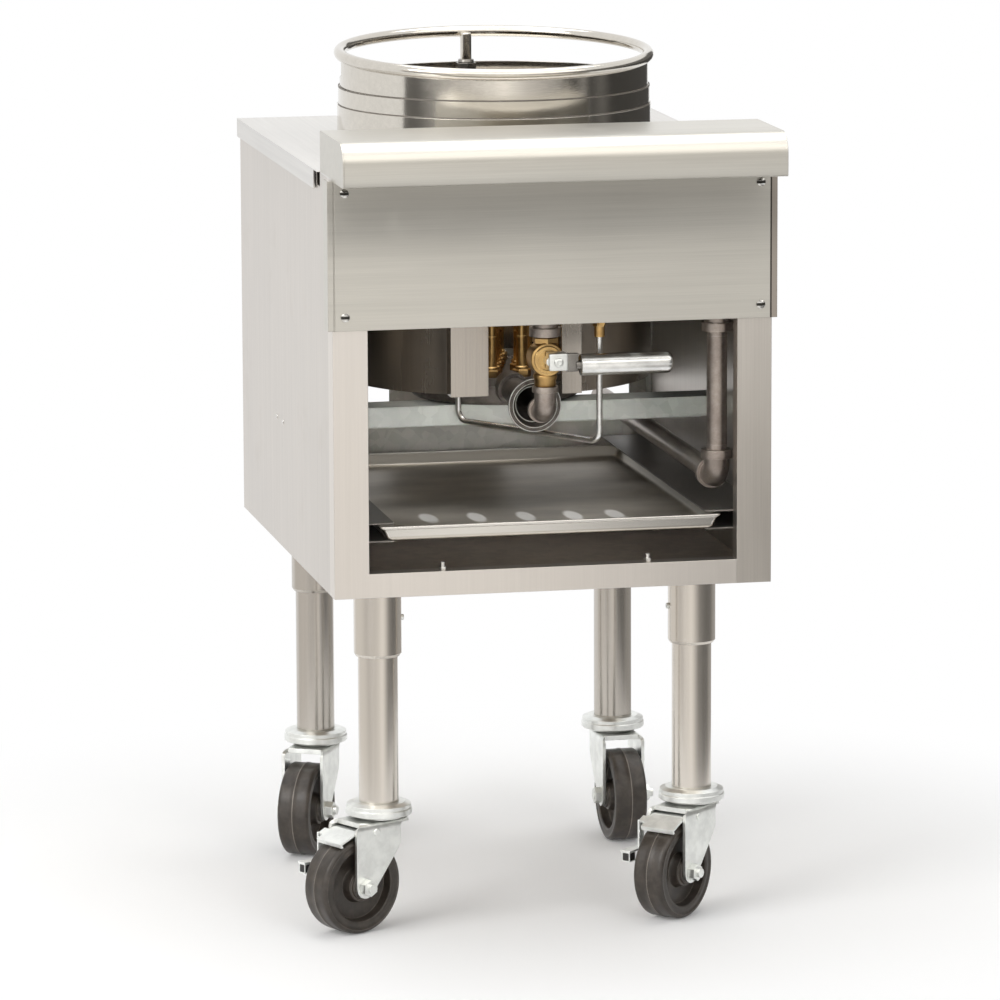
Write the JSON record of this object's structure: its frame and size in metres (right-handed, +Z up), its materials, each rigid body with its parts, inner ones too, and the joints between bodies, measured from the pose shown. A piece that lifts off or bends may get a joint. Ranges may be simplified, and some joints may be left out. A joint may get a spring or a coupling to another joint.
{
  "type": "wok range",
  "caption": "Free-standing gas wok range: open-front steel cabinet on caster legs, raised front ledge, tilted wok ring over a jet burner, lever gas valve and sliding drip tray.",
  "frame": {"origin": "on the floor, midway between the four caster legs", "axes": "+Z up, -Y towards the cook at the open front, +Y along the gas inlet at the back, +X to the cook's right as they face the range"},
  "size_m": [0.4871, 0.662, 0.9031],
  "materials": {
    "stainless": "brushed, warm light grey",
    "galvanized": "dull, slightly green zinc coat",
    "zinc": "bright zinc plating",
    "bright_steel": "smooth and bright",
    "black_iron": "dark, satin",
    "cast_iron": "dark, rough as cast",
    "brass": "machined",
    "wheel": "dark brown hard composition"
  },
  "bodies": {
    "cabinet": {"left_side_panel": "stainless", "right_side_panel": "stainless", "back_panel": "galvanized", "top_deck": "stainless", "front_ledge": "stainless", "front_panel": "stainless", "front_frame": "stainless", "right_post": "stainless", "rear_posts": "galvanized", "bottom_pan": "galvanized", "cross_rails": "galvanized", "tray_runners": "galvanized", "body_screws": "zinc", "chamber_shell": "stainless", "chamber_plates": "stainless", "chamber_collar": "stainless", "chamber_band": "stainless", "ring_wall": "stainless", "ring_wire": "stainless", "ring_post": "zinc", "ring_post_nut": "zinc", "gas_inlet_pipe": "black_iron", "lower_elbow": "black_iron", "riser_pipe": "black_iron", "upper_elbow": "black_iron", "manifold_pipe": "black_iron", "pipe_hangers": "zinc", "valve_elbow": "black_iron", "gas_valve": "brass", "burner_elbow": "black_iron", "burner_orifice": "brass", "burner_venturi": "cast_iron", "burner_head": "cast_iron", "burner_jets": "brass", "pilot_valve": "brass", "pilot_tube": "bright_steel", "pilot_burner": "brass", "leg_sleeves": "stainless", "leg_tubes": "stainless", "leg_set_screws": "zinc", "caster_races": "zinc"},
    "tray": {"drip_tray": "stainless"},
    "lever": {"valve_hub": "zinc", "lever_grip": "bright_steel"},
    "front_left_caster": {"front_left_fork": "zinc", "front_left_axle": "zinc"},
    "front_left_wheel": {"front_left_wheel": "wheel"},
    "front_right_caster": {"front_right_fork": "zinc", "front_right_axle": "zinc"},
    "front_right_wheel": {"front_right_wheel": "wheel"},
    "rear_left_caster": {"rear_left_fork": "zinc", "rear_left_axle": "zinc"},
    "rear_left_wheel": {"rear_left_wheel": "wheel"},
    "rear_right_caster": {"rear_right_fork": "zinc", "rear_right_axle": "zinc"},
    "rear_right_wheel": {"rear_right_wheel": "wheel"},
    "front_left_brake": {"front_left_brake": "zinc"},
    "front_right_brake": {"front_right_brake": "zinc"}
  },
  "joints": [
    {"name": "tray_slide", "type": "slide", "parent": "cabinet", "child": "tray", "axis": [0, -1, 0], "range_m": [0, 0.42]},
    {"name": "valve_lever", "type": "hinge", "parent": "cabinet", "child": "lever", "pos_m": [0, -0.2545, 0.601], "axis": [0, 1, 0], "range_deg": [0, 90]},
    {"name": "front_left_swivel", "type": "hinge", "parent": "cabinet", "child": "front_left_caster", "pos_m": [-0.167, -0.1885, 0.125], "axis": [0, 0, 1], "continuous": true},
    {"name": "front_right_swivel", "type": "hinge", "parent": "cabinet", "child": "front_right_caster", "pos_m": [0.167, -0.1885, 0.125], "axis": [0, 0, 1], "continuous": true},
    {"name": "rear_left_swivel", "type": "hinge", "parent": "cabinet", "child": "rear_left_caster", "pos_m": [-0.167, 0.1885, 0.125], "axis": [0, 0, 1], "continuous": true},
    {"name": "rear_right_swivel", "type": "hinge", "parent": "cabinet", "child": "rear_right_caster", "pos_m": [0.167, 0.1885, 0.125], "axis": [0, 0, 1], "continuous": true},
    {"name": "front_left_roll", "type": "hinge", "parent": "front_left_caster", "child": "front_left_wheel", "pos_m": [-0.19879, -0.2054, 0.0508], "axis": [0.4695, -0.8829, 0], "continuous": true},
    {"name": "front_right_roll", "type": "hinge", "parent": "front_right_caster", "child": "front_right_wheel", "pos_m": [0.1411, -0.21351, 0.0508], "axis": [0.6947, -0.7193, 0], "continuous": true},
    {"name": "rear_left_roll", "type": "hinge", "parent": "rear_left_caster", "child": "rear_left_wheel", "pos_m": [-0.1839, 0.15671, 0.0508], "axis": [0.8829, -0.4695, 0], "continuous": true},
    {"name": "rear_right_roll", "type": "hinge", "parent": "rear_right_caster", "child": "rear_right_wheel", "pos_m": [0.16826, 0.15252, 0.0508], "axis": [0.9994, 0.0349, 0], "continuous": true},
    {"name": "front_left_brake_pedal", "type": "hinge", "parent": "front_left_caster", "child": "front_left_brake", "pos_m": [-0.18642, -0.19883, 0.1073], "axis": [0.4695, -0.8829, 0], "range_deg": [-5, 2]},
    {"name": "front_right_brake_pedal", "type": "hinge", "parent": "front_right_caster", "child": "front_right_brake", "pos_m": [0.15117, -0.20378, 0.1073], "axis": [0.6947, -0.7193, 0], "range_deg": [-5, 2]}
  ]
}
